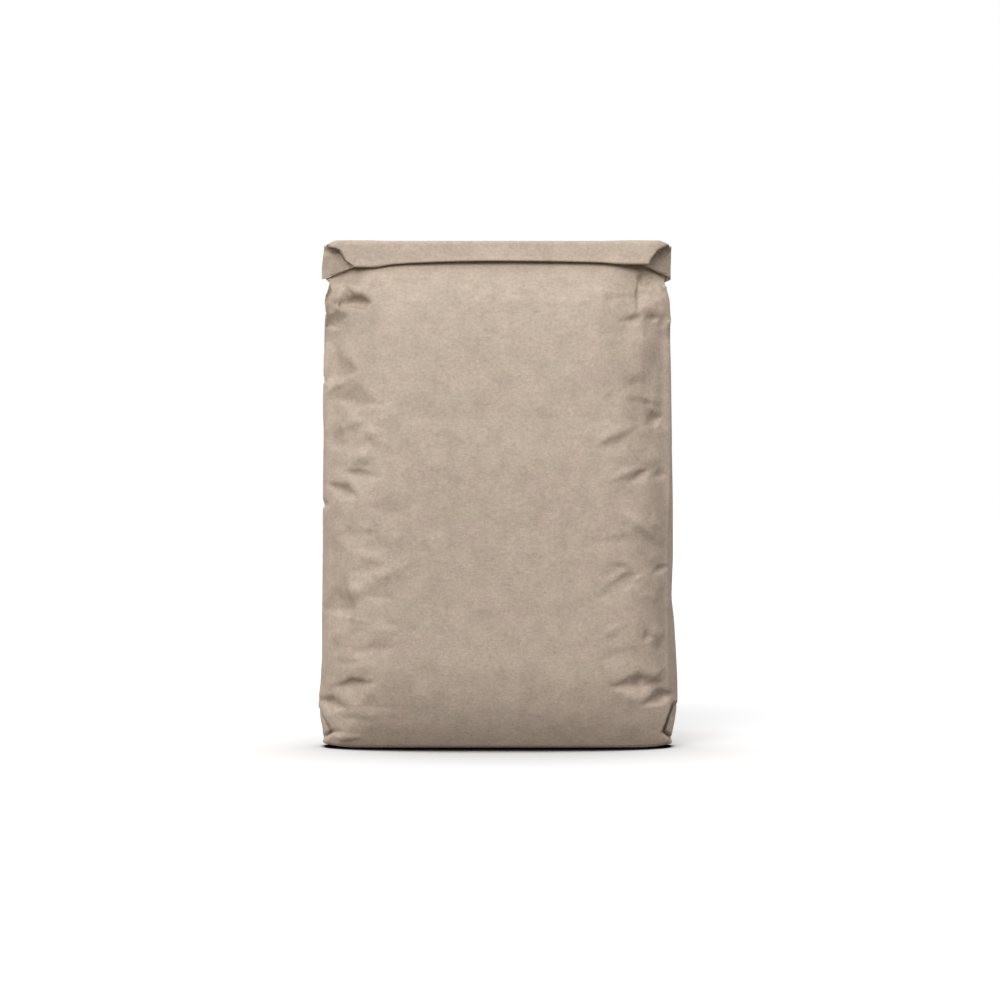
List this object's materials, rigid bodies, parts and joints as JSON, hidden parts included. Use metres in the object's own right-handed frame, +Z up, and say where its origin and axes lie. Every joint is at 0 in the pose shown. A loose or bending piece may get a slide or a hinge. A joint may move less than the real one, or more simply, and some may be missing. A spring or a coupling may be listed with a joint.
{
  "type": "cement bag",
  "caption": "Filled gusseted kraft paper sack of cement, standing upright on its folded bottom, with its mouth rolled down over the front.",
  "frame": {"origin": "on the floor, under the middle of the bag", "axes": "+Z up along the bag's height, +X to the right as seen from the front, -Y the front, where the mouth is rolled down"},
  "size_m": [0.3618, 0.1413, 0.508],
  "materials": {
    "kraft_paper": "matt, slightly calendered brown kraft paper",
    "cement_powder": "matt grey powder"
  },
  "bodies": {
    "root": {"paper_sack": "kraft_paper", "cement_fill": "cement_powder"}
  },
  "joints": []
}
